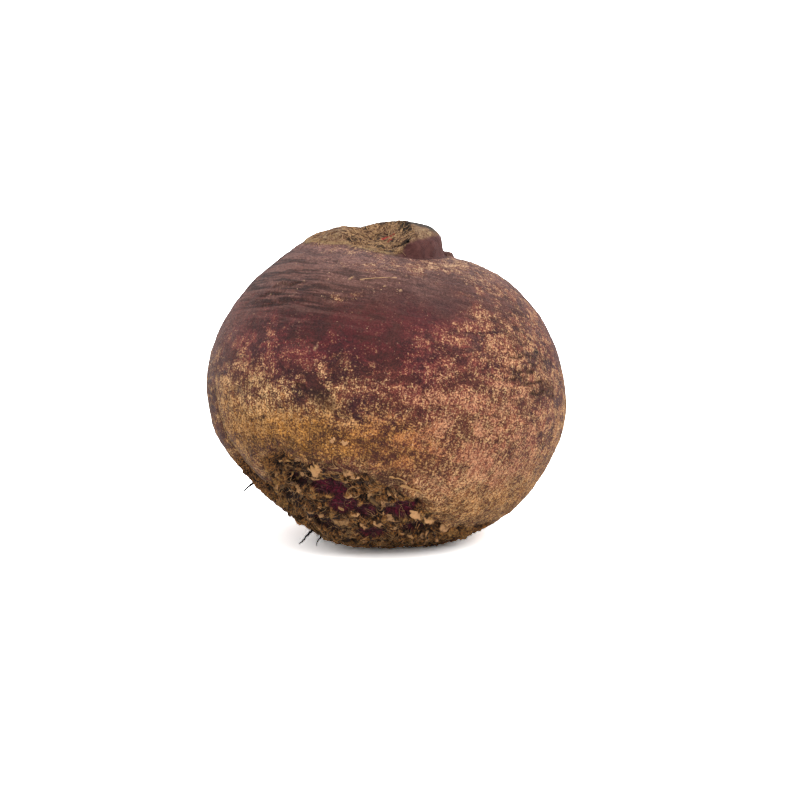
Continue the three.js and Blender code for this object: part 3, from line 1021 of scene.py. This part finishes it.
def flake(cluster, ground, at, size, turn, lift, random, kind):
    """A torn scrap of skin: held along one edge, lifted and ragged at the other."""
    length, width = size
    rows, columns, thickness, curl = 7, 6, 0.16, 0.4
    point, out, across, along = ground.frame(towards(*at), math.radians(turn))
    u = np.linspace(0, 1, rows)[:, None]
    v = np.linspace(-1, 1, columns)[None, :]
    wild = Lattice(int(random.integers(1 << 30)))
    reach = length * (1 + 0.30 * wild.noise(np.stack([v * 2.3, 0 * v, 0 * v], -1)))
    half = 0.5 * width * (1 - 0.35 * u**2 + 0.22 * wild.noise(np.stack([u * 3, 0 * u + 4, 0 * u], -1)))
    rough = 0.14 * wild.noise(np.stack([u * 3 + 0 * v, v * 2 + 0 * u, 9 + 0 * u * v], -1))
    height = lift * u**1.5 + rough * (0.3 + u) - curl * (v * half / width * 2) ** 2 * u - 0.25 * (1 - u)
    sheet = (
        point + along * (u * reach)[..., None] + across * (v * half)[..., None] + out * height[..., None]
    )
    bottom = sheet - out * thickness
    points = np.concatenate([sheet.reshape(-1, 3), bottom.reshape(-1, 3)])
    faces = []
    below = rows * columns
    for i, j in product(range(rows - 1), range(columns - 1)):
        a = i * columns + j
        b, c, d = a + 1, a + 1 + columns, a + columns
        faces.append((a, b, c, d))
        faces.append((below + d, below + c, below + b, below + a))
    rim = [(0, j) for j in range(columns)] + [(i, columns - 1) for i in range(1, rows)]
    rim += [(rows - 1, j) for j in range(columns - 2, -1, -1)] + [(i, 0) for i in range(rows - 2, 0, -1)]
    rim = [i * columns + j for i, j in rim]
    for a, b in zip(rim, rim[1:] + rim[:1]):
        faces.append((b, a, below + a, below + b))
    tip = np.tile((u + 0 * v).ravel(), 2)
    kinds = np.stack([np.full_like(tip, kind[0]), np.full_like(tip, kind[1]), tip * kind[2]], -1)
    cluster.add(points, faces, kinds)


def on_flesh(bearing, elevation):
    """Whether a place lies well inside one of the torn patches of flesh."""
    for at_bearing, at_elevation, wide, high, _, flesh in HOLLOWS:
        across = (bearing - at_bearing) * math.cos(math.radians(elevation)) / wide
        if flesh > 0.5 and math.hypot(across, (elevation - at_elevation) / high) < 0.95:
            return True
    return False


def root_spot(random, reach, cover):
    """A random place in the root end. Only a share of the places on flesh is used."""
    while True:
        away, around = reach * math.sqrt(random.random()), random.uniform(0, 2 * math.pi)
        elevation = ROOT_ELEVATION + away * math.sin(around)
        bearing = ROOT_BEARING + away * math.cos(around) / max(math.cos(math.radians(elevation)), 0.3)
        if not on_flesh(bearing, elevation) or random.random() < cover:
            return bearing, elevation


def ring_turn(direction):
    """The angle at which the rings round the root run, against the level direction."""
    right = unit(np.cross([0.0, 0.0, 1.0], direction))
    ring = np.cross(ROOT_DIRECTION, direction)
    return math.atan2(ring @ np.cross(direction, right), ring @ right)


# How many small flakes and fibres are tried. A few of them fall outside their area and are left out.
SMALL_FLAKES = 420
ROOT_FIBRES = 1300
SCAR_FIBRES = 330
COLLAR_FIBRES = 220

# The larger flakes: (bearing, elevation), (length, width), turn, lift, tone from dark 0 to pale 1.
FLAKES = [
    ((-24, -20), (3.6, 3.4), 20, 1.1, 0.95), ((-26, -17), (2.4, 2.6), -30, 0.8, 0.85),
    ((-12, -21.5), (4.0, 3.6), 10, 1.2, 1.0), ((-10, -18), (2.2, 2.4), 60, 0.8, 0.9),
    ((-14, -8.5), (2.6, 2.6), -15, 0.6, 0.9), ((-16, -6.5), (1.8, 2.0), 40, 0.5, 0.8),
    ((-38, -17), (1.3, 5.5), 5, 0.8, 0.8), ((-34, -20), (1.2, 6.5), -8, 0.9, 0.75),
    ((-31, -15), (1.3, 3.6), 12, 0.6, 0.6), ((4, -20), (1.4, 5.0), -20, 0.7, 0.85),
    ((9, -24), (1.4, 6.0), -28, 0.8, 0.8), ((14, -35), (1.6, 4.6), 160, 0.8, 0.75),
    ((20, -38), (1.5, 4.0), 150, 0.8, 0.8), ((24, -36), (1.3, 3.4), -20, 0.7, 0.7),
    ((4, -38), (1.5, 5.0), 170, 0.7, 0.6), ((30, -44), (1.4, 4.0), 150, 0.7, 0.65),
    ((-4, -27), (1.6, 3.6), 80, 0.7, 0.6), ((1, -30), (1.6, 3.0), 100, 0.7, 0.55),
    ((-28, -31), (2.0, 4.0), 30, 0.7, 0.5), ((-40, -28), (1.8, 4.0), 15, 0.7, 0.4),
    ((-20, -38), (2.2, 5.0), 175, 0.8, 0.5), ((12, -17), (1.4, 4.0), -24, 0.4, 0.7),
]


def root_flakes(ground, material):
    random = np.random.default_rng(5)
    cluster = Cluster()
    for at, size, turn, lift, tone in FLAKES:
        flake(cluster, ground, at, size, turn, lift, random, (random.random(), tone, 1.0))
    for _ in range(SMALL_FLAKES):
        bearing, elevation = root_spot(random, 35, 0.12)
        if elevation < -75:
            continue
        size = (random.uniform(0.4, 1.1), random.uniform(0.8, 3.6))
        kind = (random.random(), random.choice([0.0, 0.15, 0.3, 0.6, 0.9]), random.random())
        turn = math.degrees(ring_turn(towards(bearing, elevation))) + random.normal(0, 30)
        lift = random.uniform(0.15, 0.7)
        flake(cluster, ground, (bearing, elevation), size, turn, lift, random, kind)
    return cluster.piece("beetroot_root_flakes", material)


def root_fibres(ground, material):
    random = np.random.default_rng(6)
    cluster = Cluster()
    for _ in range(ROOT_FIBRES):
        bearing, elevation = root_spot(random, 37, 0.3)
        if elevation < -78:
            continue
        kind = (random.random(), random.uniform(0.1, 0.95), random.random())
        direction = towards(bearing, elevation)
        turn = ring_turn(direction) + random.normal(0, 0.5)
        fibre(
            cluster, ground, direction, random,
            random.uniform(1.0, 4.0), random.uniform(0.045, 0.10), random.uniform(0.05, 0.5), kind, 1.0, turn,
        )
    return cluster.piece("beetroot_root_fibres", material)


def crown_fibres(ground, material):
    random = np.random.default_rng(7)
    cluster = Cluster()
    for _ in range(SCAR_FIBRES):
        away, around = 12.0 * math.sqrt(random.random()), random.uniform(0, 2 * math.pi)
        x, y = KNOB[0] - 2.5 + away * math.cos(around), KNOB[1] - 2.0 + 0.9 * away * math.sin(around)
        foot = np.array([x, y, 77.0])
        dome, scoop = knob_heights(foot)
        if dome - scoop < 0.0 or knob_edge(foot) > -0.6:
            continue
        kind = (random.random(), random.uniform(0.1, 0.95), random.random())
        fibre(
            cluster, ground, unit(foot - BODY_CENTRE), random,
            random.uniform(1.5, 5.0), random.uniform(0.06, 0.13), random.uniform(0.05, 0.35), kind, 2.6,
        )
    for _ in range(COLLAR_FIBRES):
        foot = np.array([random.uniform(-18.0, -5.0), random.uniform(-4.0, 9.0), 77.0])
        if collar_edge(foot) > -0.2:
            continue
        kind = (random.random(), random.uniform(0.0, 0.8), random.random())
        fibre(
            cluster, ground, unit(foot - BODY_CENTRE), random,
            random.uniform(1.5, 4.5), random.uniform(0.05, 0.10), random.uniform(0.0, 0.15), kind, 1.0,
            random.normal(-math.pi / 2, 0.5),
        )
    for start, end, width in SCRATCHES:
        ends = towards(*start), towards(*end)
        outward = [unit(ends[0] * (1 - t) + ends[1] * t) for t in np.linspace(0, 1, 14)]
        path = [ground.at(out) + out * random.uniform(-0.04, 0.06) for out in outward]
        tube(cluster, path, np.full(len(path), 0.55 * width), (1.0, 1.2, 0.0))
    return cluster.piece("beetroot_crown_fibres", material)


# Rootlets that stand out from the skin: points along each, and its radius at the start.
ROOTLETS = [
    ([(-30.6, -6, 15.8), (-32.2, -6.6, 16.2), (-34.0, -7.0, 15.4), (-35.6, -7.4, 13.8)], 0.46),
    ([(-18.4, -12.5, 5.2), (-19.4, -13, 4.2), (-20.4, -13.5, 3.0), (-21.6, -14, 2.0)], 0.36),
    ([(-16.2, -13, 3.6), (-16.8, -13.6, 3.0), (-17.2, -14.2, 2.4), (-17.2, -14.8, 1.8)], 0.26),
]


def rootlets(material):
    random = np.random.default_rng(8)
    cluster = Cluster()
    for path, radius in ROOTLETS:
        path = np.array(path)
        steps = np.linspace(0, len(path) - 1, 12)
        smooth_path = np.stack([np.interp(steps, range(len(path)), path[:, k]) for k in range(3)], -1)
        smooth_path += random.normal(0, 0.05, smooth_path.shape)
        tube(cluster, smooth_path, radius * np.linspace(1, 0.4, len(steps)), (random.random(), 0.1, 0.0), 6)
    return cluster.piece("beetroot_rootlets", material)


# ---- The scene ----


# The floor's grey as paper, and its grey to the camera, which is brighter than white.
PAPER = 0.7
OVEREXPOSED = 2.6
FLOOR_HALF = 6.0  # metres


def floor_material():
    """White paper. To the camera it is overexposed, as in a product photograph, so only close shade shows."""
    material = bpy.data.materials.new("floor_white")
    material.use_nodes = True
    nodes, links = material.node_tree.nodes, material.node_tree.links
    nodes.remove(nodes["Principled BSDF"])
    paper, overexposed = (nodes.new("ShaderNodeBsdfDiffuse") for _ in range(2))
    paper.inputs["Color"].default_value = (PAPER, PAPER, PAPER, 1)
    overexposed.inputs["Color"].default_value = (OVEREXPOSED, OVEREXPOSED, OVEREXPOSED, 1)
    path, blend = nodes.new("ShaderNodeLightPath"), nodes.new("ShaderNodeMixShader")
    links.new(path.outputs["Is Camera Ray"], blend.inputs["Fac"])
    links.new(paper.outputs[0], blend.inputs[1])
    links.new(overexposed.outputs[0], blend.inputs[2])
    links.new(blend.outputs[0], nodes["Material Output"].inputs["Surface"])
    return material


def stage():
    floor_mesh = bpy.data.meshes.new("floor")
    half = FLOOR_HALF
    floor_mesh.from_pydata(
        [(-half, -half, 0), (half, -half, 0), (half, half, 0), (-half, half, 0)], [], [(0, 1, 2, 3)]
    )
    floor = bpy.data.objects.new("floor", floor_mesh)
    bpy.context.scene.collection.objects.link(floor)
    floor_mesh.materials.append(floor_material())


LIGHT_TARGET = (0, 0, 0.04)  # metres: the middle of the beetroot


def light(name, place, size, power):
    lamp = bpy.data.lights.new(name, "AREA")
    lamp.shape = "RECTANGLE"
    lamp.size, lamp.size_y = size
    lamp.energy = power
    lamp_object = bpy.data.objects.new(name, lamp)
    lamp_object.location = place
    lamp_object.rotation_euler = (Vector(LIGHT_TARGET) - Vector(place)).to_track_quat("-Z", "Y").to_euler()
    bpy.context.scene.collection.objects.link(lamp_object)


def lights():
    world = bpy.data.worlds.new("studio")
    world.use_nodes = True
    background = world.node_tree.nodes["Background"]
    background.inputs["Color"].default_value = (1, 1, 1, 1)
    background.inputs["Strength"].default_value = 1.0
    bpy.context.scene.world = world
    light("overhead_softbox", (0.0, 0.1, 1.1), (1.0, 1.0), 9.0)
    light("front_softbox", (0.5, -0.7, 0.7), (0.5, 0.5), 6.0)


CAMERA_ELEVATION = math.radians(12)
CAMERA_DISTANCE = 0.669
CAMERA_LENS = 120.0
AIM_RIGHT, AIM_DOWN = 3.5, 2.5  # the camera is aimed so far from the body's centre, in its own picture plane


def camera():
    up = np.array([0.0, math.sin(CAMERA_ELEVATION), math.cos(CAMERA_ELEVATION)])
    ahead = np.array([0.0, math.cos(CAMERA_ELEVATION), -math.sin(CAMERA_ELEVATION)])
    aim = (BODY_CENTRE + AIM_RIGHT * np.array([1.0, 0, 0]) - AIM_DOWN * up) * MM
    data = bpy.data.cameras.new("camera")
    data.lens, data.sensor_width = CAMERA_LENS, 36.0
    data.clip_start, data.clip_end = 0.01, 20.0
    view = bpy.data.objects.new("camera", data)
    view.location = aim - ahead * CAMERA_DISTANCE
    view.rotation_euler = Vector(ahead).to_track_quat("-Z", "Y").to_euler()
    bpy.context.scene.collection.objects.link(view)
    bpy.context.scene.camera = view


def main():
    grid = skin_grid(Body())
    skin = skin_material()
    skin_piece("beetroot_upper_skin", range(0, SEAM_RING + 1), grid, skin)
    skin_piece("beetroot_lower_skin", range(SEAM_RING, RINGS + 1), grid, skin)

    ground = Ground(grid[0])
    root_flakes(ground, strand_material("beetroot_flake", "2a160e", "d6a474"))
    root_fibres(ground, strand_material("beetroot_root_fibre", "3a2014", "d6ab7c"))
    crown_fibres(ground, strand_material("beetroot_crown_fibre", "4a2a1a", "d2ab82"))
    rootlets(strand_material("beetroot_rootlet", "140d09", "3a281c"))

    stage()
    lights()
    camera()
    bpy.context.scene.view_settings.view_transform = "Standard"


main()
